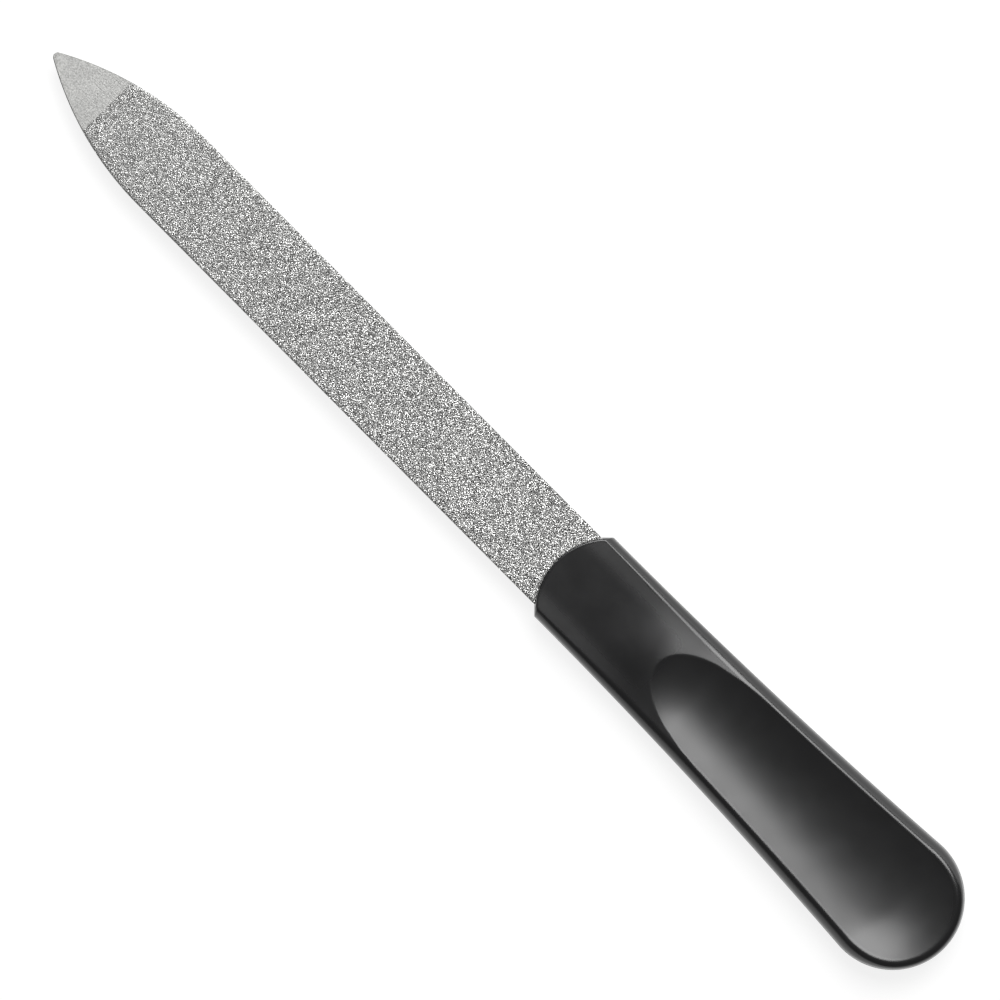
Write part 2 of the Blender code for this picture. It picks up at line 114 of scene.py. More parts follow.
CUTTER_OVERRUN = 3.0  # of a cutter past what it cuts
MERGE_DISTANCE = 0.001

# How finely the forms are divided: rings along the blank, ribs along the handle and points of a
# rib over it
NOSE_RINGS, POINT_RINGS, SIDE_RINGS, TANG_RINGS, TANG_CORNER_RINGS = 14, 60, 40, 16, 10
EDGE_POINTS, HOLE_SIDES, POCKET_STATIONS = 5, 48, 200
ARCH_RIBS, BEVEL_RIBS, CORNER_RIBS, BUTT_RIBS = 30, 8, 8, 74
LAND_RIBS, SWELL_RIBS, SCOOP_NOSE_RIBS, TROUGH_RIBS, BOWL_RIBS = 12, 24, 30, 46, 60
WALL_POINTS, SHOULDER_POINTS, CREASE_POINTS, FACE_POINTS = 5, 12, 8, 62
WORN_BEFORE, WORN_BEHIND = 2, 3  # points of a rib beside its crease, which are worn with it

# Camera: straight down, the file's length at 45 degrees
PIXEL, PICTURE_WIDTH = 0.1268, 1000  # a pixel in millimetres, a picture in pixels
VIEW_TURN = 225.2  # degrees
VIEW_DISTANCE, VIEW_DEPTH = 2000.0, 20000.0
SENSOR_WIDTH = 36.0
VIEW_SHIFT_RIGHT, VIEW_SHIFT_UP = 1.0, 1.5  # pixels


# Curves shared by the pieces


def eased(share):
    """Shares from 0 to 1 that start and end level: 3s^2 - 2s^3, held at both ends."""
    held = np.clip(share, 0.0, 1.0)
    return held * held * (3 - 2 * held)


def arc_rise(radius, distance):
    """Height of a circular arc over its lowest point: r - sqrt(r^2 - d^2)."""
    return radius - np.sqrt(radius * radius - distance * distance)


def arc_radius(length, rise):
    """Radius of the arc that starts level and rises this much over this length."""
    return (length * length + rise * rise) / (2 * rise)


def ramp(past, slope, ease):
    """A climb that starts softly: slope * (past + root(past^2 + ease^2)) / 2."""
    return slope * (past + np.sqrt(past**2 + ease**2)) / 2


def soft_lower(first, second, softness):
    """The lower of two heights, with their meeting rounded off over the softness: where they
    differ by less, a square term h^2 * softness / 4 is taken off, h being the share left."""
    share = np.maximum(softness - np.abs(first - second), 0.0) / softness
    return np.minimum(first, second) - share * share * softness / 4


def grid_faces(rows, columns):
    """Quads over a grid of points that run row by row."""
    corner = (np.arange(rows - 1)[:, None] * columns + np.arange(columns - 1)).ravel()
    return np.stack([corner, corner + columns, corner + columns + 1, corner + 1], axis=1)


# Making and dressing a mesh


def new_object(name, points, faces):
    """An object whose mesh has these points, in millimetres, and faces."""
    mesh = bpy.data.meshes.new(name)
    mesh.from_pydata((np.asarray(points).reshape(-1, 3) * MM).tolist(), [], faces)
    obj = bpy.data.objects.new(name, mesh)
    bpy.context.scene.collection.objects.link(obj)
    return obj


def keep_values(obj, name, domain, values):
    """Keeps one number per point or per face on the mesh, for its material."""
    layer = obj.data.attributes.new(name, "FLOAT", domain)
    layer.data.foreach_set("value", np.asarray(values, dtype=np.float32).ravel())


def weld_and_face_outwards(obj, distance):
    """Merges the points of mirrored parts and turns every face outwards."""
    bm = bmesh.new()
    bm.from_mesh(obj.data)
    bmesh.ops.remove_doubles(bm, verts=bm.verts, dist=distance * MM)
    bmesh.ops.recalc_face_normals(bm, faces=bm.faces)
    bm.to_mesh(obj.data)
    bm.free()


def carve(obj, cutter):
    """Cuts one closed mesh out of another, for good, and removes the cutter."""
    boolean = obj.modifiers.new("carve", "BOOLEAN")
    boolean.operation = "DIFFERENCE"
    boolean.solver = "EXACT"
    boolean.object = cutter
    carved = obj.evaluated_get(bpy.context.evaluated_depsgraph_get())
    obj.data = bpy.data.meshes.new_from_object(carved)
    obj.modifiers.clear()
    bpy.data.objects.remove(cutter, do_unlink=True)


def finish_piece(obj, node, material, sharp_degrees):
    """Shades a piece, gives it its material and sets it in the place of its solid."""
    obj.data.materials.clear()
    obj.data.materials.append(material)
    obj.data.shade_smooth()
    obj.data.set_sharp_from_angle(angle=math.radians(sharp_degrees))
    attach(obj, "root")
    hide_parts(node)


# Blank


def blade_half_width(x):
    """Half width of the blank: a round nose, the ogive's arc, straight sides, a 45 degree
    shoulder, the straight tang and its round corners, each a circle's sqrt(r^2 - d^2) or a
    straight line in x. The nose's circle touches the ogive's from inside."""
    drop = OGIVE_RADIUS - BLADE_HALF
    nose_x = TIP_X - NOSE_RADIUS
    side_x = nose_x - math.sqrt((OGIVE_RADIUS - NOSE_RADIUS) ** 2 - drop**2)
    join_x = nose_x + NOSE_RADIUS * (nose_x - side_x) / (OGIVE_RADIUS - NOSE_RADIUS)
    reach = np.clip(x - side_x, 0.0, None)
    ogive = np.sqrt(OGIVE_RADIUS**2 - reach**2) - drop
    ahead = np.clip(x - nose_x, 0.0, NOSE_RADIUS)
    nose = np.sqrt(NOSE_RADIUS**2 - ahead**2)
    width = np.where(x > join_x, nose, ogive)
    tang_half = BLADE_HALF - SHOULDER_WIDTH
    width = np.minimum(width, np.maximum(BLADE_HALF - (SHOULDER_X - x), tang_half))
    behind = np.clip(TANG_END_X + TANG_CORNER_RADIUS - x, 0.0, TANG_CORNER_RADIUS)
    rounded = tang_half - TANG_CORNER_RADIUS + np.sqrt(TANG_CORNER_RADIUS**2 - behind**2)
    return np.minimum(width, np.where(x < SHOULDER_X - SHOULDER_WIDTH, rounded, width))


def blade_stations():
    """Places along the blank: equal steps over the point, the sides and the tang, and equal
    angles round the nose and the tang's corners, where its outline turns."""
    turn = np.linspace(NOSE_START_ANGLE, math.pi / 2, NOSE_RINGS)
    nose = TIP_X - NOSE_RADIUS * (1 - np.cos(turn))
    ogive = np.linspace(TIP_X - NOSE_RADIUS - NOSE_TO_POINT, POINT_REAR_X, POINT_RINGS)
    sides = np.linspace(SIDES_FRONT_X, SHOULDER_X, SIDE_RINGS)
    shoulder = np.array([SHOULDER_X - SHOULDER_WIDTH])
    corner_x = TANG_END_X + TANG_CORNER_RADIUS
    tang = np.linspace(shoulder[0] - SHOULDER_TO_TANG, corner_x, TANG_RINGS)
    turn = np.linspace(*CORNER_TURN, TANG_CORNER_RINGS)
    end = TANG_END_X + TANG_CORNER_RADIUS * (1 - np.sin(turn))
    return np.concatenate([nose, ogive, sides, shoulder, tang, end])


def make_blade(material):
    """The blank as a rounded rectangle carried along its length: half width from its outline,
    half thickness level and then thinned along a line over the bare tip, corners as quarter
    circles. The stamped walls are marked for the material."""
    x = blade_stations()[:, None]
    width = blade_half_width(x)
    thinning = np.clip((x - BARE_TIP_X) / (TIP_X - BARE_TIP_X), 0.0, 1.0)
    thickness = FACE_Z - (FACE_Z - TIP_FACE_Z) * thinning
    corner = np.minimum(EDGE_ROUND, NARROWEST_ROUND * width)
    beside = np.minimum(SUPPORT, NARROWEST_SUPPORT * (width - corner))
    turn = np.linspace(0.0, math.pi / 2, EDGE_POINTS)
    quarter_y = width - corner * (1 - np.cos(turn))
    quarter_z = thickness - corner * (1 - np.sin(turn))
    quarter_y = np.hstack([width, quarter_y, width - corner - beside])
    quarter_z = np.hstack([thickness - corner - SUPPORT, quarter_z, thickness])
    y = np.hstack([quarter_y, -quarter_y[:, ::-1], -quarter_y, quarter_y[:, ::-1]])
    z = np.hstack([quarter_z, quarter_z[:, ::-1], -quarter_z, -quarter_z[:, ::-1]])
    points = np.stack([np.broadcast_to(x, y.shape), y, z], axis=2)
    rings, count = y.shape
    quarter_edge = np.array([1.0] * (quarter_y.shape[1] - 1) + [0.0])
    edge = np.concatenate([quarter_edge, quarter_edge[::-1]] * 2)
    quads = grid_faces(rings, count).tolist()
    last = np.arange(rings - 1) * count
    closing = [last + count - 1, last + 2 * count - 1, last + count, last]
    quads += np.stack(closing, axis=1).tolist()
    nose_cap = list(range(count))
    end_cap = list(range((rings - 1) * count, rings * count))
    blade = new_object("satin_blade", points, quads + [nose_cap, end_cap])
    keep_values(blade, "stamped_edge", "POINT", np.tile(edge, rings))
    weld_and_face_outwards(blade, MERGE_DISTANCE)
    carve(blade, locking_pins(LOCKING_HOLE_RADIUS))
    finish_piece(blade, "blade", material, sharp_degrees=30.0)


def locking_pins(radius):
    """Upright round bars through the tang's holes, to cut them or to leave posts in them."""
    turn = np.linspace(0.0, 2 * math.pi, HOLE_SIDES, endpoint=False)
    count = len(turn)
    points, faces = [], []
    for centre in LOCKING_HOLES_X:
        first = len(points)
        x, y = centre + radius * np.cos(turn), radius * np.sin(turn)
        for z in (-CUTTER_OVERRUN, CUTTER_OVERRUN):
            points += np.stack([x, y, 0 * turn + z], axis=1).tolist()
        near = np.arange(count)
        far = (near + 1) % count
        sides = np.stack([near, far, far + count, near + count], axis=1) + first
        faces += sides.tolist()
        faces += [(near[::-1] + first).tolist(), (near + first + count).tolist()]
    return new_object("locking_pins", points, faces)


# Grit coats


def unlike_neighbours(rng, rows, columns):
    """Random shares that tend to differ from those next to them, as grains and the gaps between
    them do: noise less the mean of its four neighbours, about one half, held between 0 and 1."""
    noise = rng.random((rows + 2, columns + 2))
    near = noise[:-2, 1:-1] + noise[2:, 1:-1] + noise[1:-1, :-2] + noise[1:-1, 2:]
    return np.clip(0.5 + noise[1:-1, 1:-1] - near / 4, 0.0, 1.0)


def make_coat(name, node, side, seed, material):
    """A grid over the blade's face, one quad to a grain: lengthwise from the bare tip to under the
    lips, crosswise shares of the half width there. Every point is shifted a little and stands at
    the bond's height plus a random share of the grains' rise, which is lower towards the tip. The
    rim thins and wanders as a poured bond does. Walls and a strip below close it, and the front
    wall is undercut. Each grain keeps a random tone, darkened by painted shade along the rim, and
    sharp edges. The side walls carry painted shade, and the end walls are painted lighter."""
    rng = np.random.default_rng(seed)
    rows = int((BARE_TIP_X - COAT_REAR_X) / COAT_STEP)
    columns = int(2 * BLADE_HALF / COAT_STEP)
    stations = np.linspace(BARE_TIP_X - FRONT_SET_BACK, COAT_REAR_X, rows)
    x = stations[:, None] + np.zeros((1, columns))
    share = np.linspace(-1.0, 1.0, columns)[None, :]
    half = blade_half_width(x[:, :1])
    wander = SIDE_WANDER * rng.random((rows, 2))
    y = (half - np.where(share > 0, wander[:, :1], wander[:, 1:])) * share
    x[0] += FRONT_WANDER * (rng.random(columns) - 0.5)
    inner = (slice(1, -1), slice(1, -1))
    x[inner] += GRAIN_SHIFT * COAT_STEP * (rng.random((rows - 2, columns - 2)) - 0.5)
    y[inner] += GRAIN_SHIFT * COAT_STEP * (rng.random((rows - 2, columns - 2)) - 0.5)
    coarseness = eased((COARSENING_X - x) / COARSENING_LENGTH)
    rise = GRAIN_RISE * (FINEST_GRAIN + (1 - FINEST_GRAIN) * coarseness)
    inside = np.clip((half - np.abs(y)) / RIM_BEVEL, 0.0, 1.0)
    relief = rise * unlike_neighbours(rng, rows, columns)
    top = BOND_Z + relief - RIM_FALL * (1 - inside)
    underside = np.full((rows, 2), FACE_Z + BOND_CLEARANCE)
    strip = np.stack([x[:, [0, -1]], y[:, [0, -1]], underside], axis=2)
    strip[0, :, 0] -= FRONT_UNDERCUT
    points = np.concatenate([np.stack([x, y, top], axis=2).reshape(-1, 3), strip.reshape(-1, 3)])
    low = rows * columns + 2 * np.arange(rows)
    left = np.arange(rows) * columns
    right = left + columns - 1
    faces = grid_faces(rows, columns).tolist()
    # painted shade: the grains' random tone is darkened towards the rim
    painted_rim_shade = RIM_PAINTED_SHADE + (1 - RIM_PAINTED_SHADE) * inside[:-1, :-1]
    tone = painted_rim_shade * unlike_neighbours(rng, rows - 1, columns - 1)
    faces += np.stack([left[:-1], low[:-1], low[1:], left[1:]], axis=1).tolist()
    faces += np.stack([right[:-1], right[1:], low[1:] + 1, low[:-1] + 1], axis=1).tolist()
    faces += np.stack([low[:-1], low[:-1] + 1, low[1:] + 1, low[1:]], axis=1).tolist()
    faces += [list(range(columns)) + [int(low[0]) + 1, int(low[0])]]
    faces += [list(range(int(left[-1]), int(right[-1]) + 1)) + [int(low[-1]) + 1, int(low[-1])]]
    points[:, 2] *= side
    coat = new_object(name, points, faces)
    # painted shade on the side walls, painted light on the two end walls
    painted_wall_tone = np.full(len(faces) - tone.size, SIDE_WALL_PAINTED_SHADE)
    painted_wall_tone[-2:] = END_WALL_PAINTED_LIGHT
    keep_values(coat, "grain_tone_and_edge_shade", "FACE", np.concatenate([tone.ravel(), painted_wall_tone]))
    weld_and_face_outwards(coat, MERGE_DISTANCE / 10)
    finish_piece(coat, node, material, sharp_degrees=1.0)


# Handle


def edge_height(x):
    """Height of the face's edge ahead of the scoop's rim: level over the land, eased down by the
    dip as the face swells, then eased up to the height of the scoop's rim."""
    join_x, widening = butt_join()[1:]
    foot_x, foot_y, ahead, aside = side_point(np.array([RIM_X]), join_x, widening)
    band = side_band(foot_x)
    rim = scoop_height(foot_x - band * ahead, foot_y - band * aside)[0]
    dipped = FRONT_RISE - EDGE_DIP * eased((LAND_X - x) / (LAND_X - CROWN_X))
    return dipped + (rim - FRONT_RISE + EDGE_DIP) * eased((CROWN_X - x) / (CROWN_X - RIM_X))


def crown_height(x):
    """How far the face's middle stands over its edge: eased up from none where the land ends."""
    return CROWN_HEIGHT * eased((LAND_X - x) / (LAND_X - CROWN_X))


def scoop_height(x, y):
    """The scoop's surface: a floor that climbs slowly to the butt; plus a trough's arc across,
    whose curvature eases from the front radius's to the rear radius's; plus an arc along its nose;
    plus the bowl, a ramp turned round a centre, less a second ramp that levels its brow. A ramp
    is slope * (u + root(u^2 + ease^2)) / 2, u being the distance past its reach."""
    top = FRONT_RISE - EDGE_DIP * eased((LAND_X - SCOOP_FRONT_X) / (LAND_X - CROWN_X))
    rise = top + crown_height(SCOOP_FRONT_X) - SCOOP_FLOOR_Z
    nose_radius = arc_radius(SCOOP_FRONT_X - TROUGH_X, rise)
    floor = SCOOP_FLOOR_Z + FLOOR_CLIMB * np.clip(TROUGH_X - x, 0.0, None) / (TROUGH_X - BUTT_X)
    flatter = eased((TROUGH_X - x) / TROUGH_GROWTH_LENGTH)
    bend = 1 / FRONT_TROUGH_RADIUS + (1 / REAR_TROUGH_RADIUS - 1 / FRONT_TROUGH_RADIUS) * flatter
    out = np.hypot(np.clip(BOWL_CENTRE_X - x, 0.0, None), y)
    bowl = ramp(out - BOWL_REACH, BOWL_SLOPE, BOWL_EASE)
    bowl = bowl - ramp(out - BROW_REACH, BROW_SLOPE, BROW_EASE)
    nose = arc_rise(nose_radius, np.clip(x - TROUGH_X, 0.0, None))
    return floor + arc_rise(1 / bend, y) + nose + bowl


def side_band(x):
    """Width in plan of the leaning side: eased from the front's to the full one."""
    return FRONT_BAND + (SIDE_BAND - FRONT_BAND) * eased((CORNER_X - x) / BAND_GROWTH_LENGTH)


def side_point(x, join_x, widening):
    """The side of the handle in its parting plane: half width at the corner plus the widening
    times the squared share of the way to the butt. Gives place and outward normal."""
    share = (CORNER_X - x) / (CORNER_X - join_x)
    slope = np.arctan(2 * widening * share / (CORNER_X - join_x))
    return x, FRONT_HALF + widening * share**2, np.sin(slope), np.cos(slope)


def butt_join():
    """Angle ahead of square, place and widening at which the side runs into the round butt, from
    two formulas that each need the other's result and settle when repeated."""
    angle = 0.0
    for _ in range(8):
        widening = BUTT_RADIUS * math.cos(angle) - FRONT_HALF
        angle = math.atan2(2 * widening, CORNER_X - BUTT_CENTRE_X - BUTT_RADIUS * math.sin(angle))
    join_x = BUTT_CENTRE_X + BUTT_RADIUS * math.sin(angle)
    return angle, join_x, BUTT_RADIUS * math.cos(angle) - FRONT_HALF


def handle_ribs():
    """Ribs round a quarter of the handle, from the front's middle to the butt's: for each its foot
    in the parting plane, its top edge point and where it meets the middle line. The front is an
    arc and a 45 degree bevel with a round corner, and the butt is an arc."""
    join, join_x, widening = butt_join()

    turn = np.linspace(0.0, ARCH_END, ARCH_RIBS)
    normal = np.stack([np.cos(turn), np.sin(turn)], axis=1)
    arch = np.array([FRONT_X - ARCH_RADIUS, 0.0]) + ARCH_RADIUS * normal
    arch_top = arch - LIP_INSET * normal

    # The round corner turns by 45 degrees and starts r * tan(22.5 degrees) ahead of the sharp one.
    tangent = CORNER_ROUND * math.tan(math.pi / 8)
    slant = np.array([math.sqrt(0.5), -math.sqrt(0.5)])
    corner = np.array([CORNER_X, FRONT_HALF])
    top_corner = corner + [FRONT_BAND - LIP_INSET * math.sqrt(2), -FRONT_BAND]
    share = np.linspace(0.0, 1.0, BEVEL_RIBS)[1:, None]
    bevel = arch[-1] + (corner + tangent * slant - arch[-1]) * share
    top_start = top_corner + TOP_CORNER_REACH * slant
    bevel_top = arch_top[-1] + (top_start - arch_top[-1]) * share

    turn = np.linspace(math.pi / 4, math.pi / 2, CORNER_RIBS)[1:]
    round_centre = corner + tangent * slant - CORNER_ROUND * slant[::-1] * [-1, 1]
    round_corner = round_centre + CORNER_ROUND * np.stack([np.cos(turn), np.sin(turn)], axis=1)
    share = np.linspace(0.0, 1.0, CORNER_RIBS)[1:, None]
    top_end = top_corner - [TOP_CORNER_REACH, 0.0]
    round_top = top_start * (1 - share) ** 2 + top_end * share**2
    round_top += 2 * top_corner * share * (1 - share)

    nose_front_x = SCOOP_FRONT_X + SCOOP_NOSE_AHEAD
    nose_rear_x = SCOOP_FRONT_X - SCOOP_NOSE_BEHIND
    stations = [
        np.linspace(round_corner[-1][0], LAND_X, LAND_RIBS)[1:],
        np.linspace(LAND_X, nose_front_x, SWELL_RIBS)[1:],
        np.linspace(nose_front_x, nose_rear_x, SCOOP_NOSE_RIBS)[1:],
        np.linspace(nose_rear_x, RIM_X, TROUGH_RIBS)[1:],
        np.linspace(RIM_X, join_x, BOWL_RIBS)[1:],
    ]
    foot_x = np.concatenate(stations)
    led = 1 - eased((foot_x[0] - foot_x) / TOP_CORNER_FADE_LENGTH)
    top_x = foot_x + (top_end[0] - round_corner[-1][0]) * led
    side = np.stack(side_point(foot_x, join_x, widening)[:2], axis=1)
    over_x, over_y, ahead, aside = side_point(top_x, join_x, widening)
    band = side_band(over_x)
    side_top = np.stack([over_x - band * ahead, over_y - band * aside], axis=1)

    turn = np.linspace(join, -math.pi / 2, BUTT_RIBS)[1:]
    ahead, aside = np.sin(turn), np.maximum(np.cos(turn), 0.0)
    aside[-1] = 0.0
    butt_normal = np.stack([ahead, aside], axis=1)
    butt_centre = np.array([BUTT_CENTRE_X, 0.0])
    band = SIDE_BAND + (END_BAND - SIDE_BAND) * eased(-turn / BAND_END_ANGLE)
    butt = butt_centre + BUTT_RADIUS * butt_normal
    butt_top = butt_centre + (BUTT_RADIUS - band)[:, None] * butt_normal

    foot = np.concatenate([arch, bevel, round_corner, side, butt])
    top = np.concatenate([arch_top, bevel_top, round_top, side_top, butt_top])
    level = len(arch) + len(bevel) + len(round_corner)
    front_spine = np.linspace(FRONT_SPINE_X, LAND_SPINE_X, level)
    edge_places = [join_x, GRIP_SPINE_X, NECK_SPINE_X, top_end[0]]
    spine_places = [JOIN_SPINE_X, GRIP_SPINE_X, NECK_SPINE_X, LAND_SPINE_X]
    side_spine = np.interp(side_top[:, 0], edge_places, spine_places)
    butt_spine = np.linspace(side_spine[-1], BUTT_SPINE_X, len(butt_top) + 1)[1:]
    return foot, top, np.concatenate([front_spine, side_spine, butt_spine]), level


def make_handle(material):
    """A quarter of the skin as ribs, mirrored over both middle planes. A rib climbs the side band,
    a wall at its draft and then a round shoulder, an arc that runs on from the wall to the
    shoulder's lean; turns over the edge on a square Bezier curve; and runs to the middle over the
    crowned face and the scoop."""
    foot, top, spine, level = handle_ribs()
    flank = top[level:][top[level:, 0] > RIM_X]

    def face_height(x, y):
        """Crowned face: edge height plus the crown times 1 - 2u^2 + u^3, u = y / edge, and the
        scoop where it is lower. Behind the rim's start the face runs up, out of its way."""
        share = np.clip(np.abs(y) / np.interp(x, flank[::-1, 0], flank[::-1, 1]), 0.0, 1.0)
        crowned = edge_height(x) + crown_height(x) * (1 - 2 * share**2 + share**3)
        crowned = crowned + FACE_CLIMB * np.clip(RIM_X - x, 0.0, None)
        return soft_lower(crowned, scoop_height(x, y), SCOOP_EDGE_SOFTNESS)

    outward = foot - top
    width = np.linalg.norm(outward, axis=1, keepdims=True)
    outward /= width
    crease_z = face_height(top[:, 0], top[:, 1])[:, None]
    rounder = eased((CORNER_X - top[:, :1]) / (CORNER_X - CROWN_X))
    rounding = FRONT_CREASE_ROUND + (CREASE_ROUND - FRONT_CREASE_ROUND) * rounder
    rounder = eased((BUTT_CREASE_X - top[:, :1]) / BUTT_CREASE_GROWTH_LENGTH)
    rounding += (BUTT_CREASE_ROUND - CREASE_ROUND) * rounder
    across = width - RIDGE_SET_IN - PARTING_RIDGE
    turn_rise = math.sin(SHOULDER_LEAN) - math.sin(WALL_LEAN)
    turn_reach = math.cos(WALL_LEAN) - math.cos(SHOULDER_LEAN)
    draft = math.tan(WALL_LEAN)
    radius = (across - crease_z * draft) / (turn_reach - turn_rise * draft)
    wall = crease_z - radius * turn_rise
    last = SHOULDER_LEAN - np.minimum(rounding / radius, (SHOULDER_LEAN - WALL_LEAN) / 2)
    angle = WALL_LEAN + (last - WALL_LEAN) * np.linspace(0.0, 1.0, SHOULDER_POINTS)[None, :]
    share = np.linspace(0.0, 1.0, WALL_POINTS)[None, :-1]
    up = PARTING_RIDGE_HALF + (wall - PARTING_RIDGE_HALF) * share
    height = np.hstack([up, wall + radius * (np.sin(angle) - math.sin(WALL_LEAN))])
    lean_in = radius * (math.cos(WALL_LEAN) - np.cos(angle))
    inward = np.hstack([up * draft, wall * draft + lean_in])
    crest = foot - RIDGE_SET_IN * outward
    start = crest - PARTING_RIDGE * outward
    band = start[:, None, :] + (top - start)[:, None, :] * (inward / across)[..., None]
    band = np.dstack([band, height])
    ridge = np.dstack([crest[:, None, :], np.zeros((len(foot), 1))])

    along = np.stack([spine, 0 * spine], axis=1) - top
    length = np.linalg.norm(along, axis=1, keepdims=True)
    share = np.linspace(0.0, 1.0, FACE_POINTS)[None, :] ** FACE_CROWDING
    distance = rounding + (length - rounding) * share
    plan = top[:, None, :] + (along / length)[:, None, :] * distance[..., None]
    plan[:, -1, 1] = 0.0
    face = np.dstack([plan, face_height(plan[..., 0], plan[..., 1])])

    turn = np.linspace(0.0, 1.0, CREASE_POINTS)[None, 1:-1, None]
    crease = np.dstack([top[:, None, :], crease_z])
    crease = 2 * crease * turn * (1 - turn)
    crease = crease + band[:, -1:] * (1 - turn) ** 2 + face[:, :1] * turn**2

    quarter = np.concatenate([ridge, band, crease, face], axis=1)
    rows, columns = quarter.shape[:2]
    wear = np.zeros((rows, columns))
    first = ridge.shape[1] + band.shape[1]
    wear[:, first - WORN_BEFORE : first + crease.shape[1] + WORN_BEHIND] = 1.0
    mirrors = [(1, 1, 1), (1, -1, 1), (1, 1, -1), (1, -1, -1)]
    points = np.concatenate([quarter.reshape(-1, 3) * mirror for mirror in mirrors])
    quads = grid_faces(rows, columns)
    faces = np.concatenate([quads + k * rows * columns for k in range(len(mirrors))])
    handle = new_object("moulded_handle", points, faces.tolist())
    keep_values(handle, "rim_wear", "POINT", np.tile(wear.ravel(), len(mirrors)))
    weld_and_face_outwards(handle, MERGE_DISTANCE)
    carve(handle, blank_pocket())
    carve(handle, coat_mouth())
    finish_piece(handle, "handle", material, sharp_degrees=24.0)


def blank_pocket():
    """The room that the blank takes in the plastic, grown by the moulding gap, with posts left
    standing in its holes."""
    x = np.linspace(FRONT_X + CUTTER_OVERRUN, TANG_END_X, POCKET_STATIONS)
    half = blade_half_width(np.maximum(x, TANG_END_X + TANG_END_HOLD)) + MOULD_GAP
    x[-1] -= MOULD_GAP
    outline = np.concatenate([np.stack([x, half], 1), np.stack([x, -half], 1)[::-1]])
    pocket = prism("blank_pocket", outline, FACE_Z + MOULD_GAP)
    carve(pocket, locking_pins(LOCKING_HOLE_RADIUS - MOULD_GAP))
    return pocket


def coat_mouth():
    """The wider mouth of the pocket, for the rear ends of the coats."""
    half = BLADE_HALF + MOULD_GAP
    ends = (FRONT_X + CUTTER_OVERRUN, COAT_REAR_X - MOULD_GAP)
    outline = [(ends[0], half), (ends[1], half), (ends[1], -half), (ends[0], -half)]
    return prism("coat_mouth", np.array(outline), COAT_TOP_Z + MOULD_GAP)


def prism(name, outline, half_height):
    """An outline in plan carried straight up between two heights, with both ends closed."""
    count = len(outline)
    levels = [np.full((count, 1), -half_height), np.full((count, 1), half_height)]
    points = np.concatenate([np.hstack([outline, level]) for level in levels])
    near = np.arange(count)
    far = (near + 1) % count
    faces = np.stack([near, far, far + count, near + count], axis=1).tolist()
    made = new_object(name, points, faces + [near[::-1].tolist(), (near + count).tolist()])
    weld_and_face_outwards(made, MERGE_DISTANCE)
    return made


# Materials

# Sizes of the patterns. The mould's texture, the steel's mottling, rubs and grinding lines are
# really some hundredths of a millimetre wide and the chips of a grain about one hundredth, all
# too fine to show in the picture, and are drawn as coarse as they need to show.
SHRINKAGE_WAVES, HANDLING_HAZE, MOULD_TEXTURE = 7.0, 3.0, 0.22
RUB_LENGTH, RUB_WIDTH = 50 / 3, 2 / 7
STEEL_CLOUDS, STEEL_MOTTLE = 2.5, 0.22
GRINDING_LENGTH, GRINDING_WIDTH = 10 / 3, 1 / 6
COAT_DRIFTS, GRAIN_CHIPS = 3.5, 0.06

# Heights of the patterns that bump a surface
WAVE_HEIGHT, TEXTURE_HEIGHT, MOTTLE_HEIGHT = 0.03, 0.001, 0.008

# The handle's gloss: what hands and the mould's insert take off its roughness, and the rubs add
RIM_POLISH, LAND_POLISH, RUB_ROUGHNESS = 0.03, 0.09, 0.012
RUBS_FROM, RUBS_FULL = 0.64, 0.8  # of the noise, so that only few lines are rubs
INSERT_HALF, INSERT_EDGE = 3.0, 5.2  # from the middle line: full polish, none
INSERT_REAR_X, INSERT_FRONT_X = -31.0, -27.0  # along the file: none, full polish

# The coat's contrast at its two ends, and the tones from dark hollows to pale grains. The
# grains' own random tone is stretched into painted shade in the hollows and painted glints on
# the palest grains.
CONTRAST_FRONT_X, CONTRAST_REAR_X = 70.0, -10.0
FRONT_CONTRAST, REAR_CONTRAST = 0.65, 1.6
CHIP_LEAN, CHIP_SHARE = 0.2, 0.4
MIDDLE_SHARE, MIDDLE_TONE = 0.7, 0.258
HOLLOW_TONE, HOLLOW_ROUGHNESS = 0.15, 0.6

# What the studio's board scatters, and the light of its own that makes it white
BOARD_ALBEDO, BOARD_LIFT = 0.2, 0.84

# Nearly all values of a noise texture lie between these two.
NOISE_LOW, NOISE_HIGH = 0.3, 0.7

# Numbers of a Mix node's sockets when it mixes colours
MIX_SHARE, MIX_FIRST, MIX_SECOND, MIX_RESULT = 0, 6, 7, 2


def linear(code):
    """An sRGB hex colour as the linear colour that the shader takes: a share s becomes s / 12.92
    up to 0.04045, and ((s + 0.055) / 1.055) to the power 2.4 above."""
    shares = [int(code[k : k + 2], 16) / 255 for k in (1, 3, 5)]
    low = [share / 12.92 for share in shares]
    high = [((share + 0.055) / 1.055) ** 2.4 for share in shares]
    return (*[a if share <= 0.04045 else b for share, a, b in zip(shares, low, high)], 1.0)


def put(tree, kind, inputs, **settings):
    """Adds a node with its settings. Each input is a value, or a socket that is linked to it."""
    made = tree.nodes.new(kind)
    for key, value in settings.items():
        setattr(made, key, value)
    for key, value in inputs.items():
        if isinstance(value, bpy.types.NodeSocket):
            tree.links.new(value, made.inputs[key])
        else:
            made.inputs[key].default_value = value
    return made


def new_material(name):
    """A material without nodes, and its tree."""
    made = bpy.data.materials.new(name)
    made.use_nodes = True
    made.node_tree.nodes.clear()
    return made, made.node_tree


def per_metre(size):
    """Scale of a texture on Object coordinates, in metres, whose features are this many mm."""
    return 1 / (size * MM)


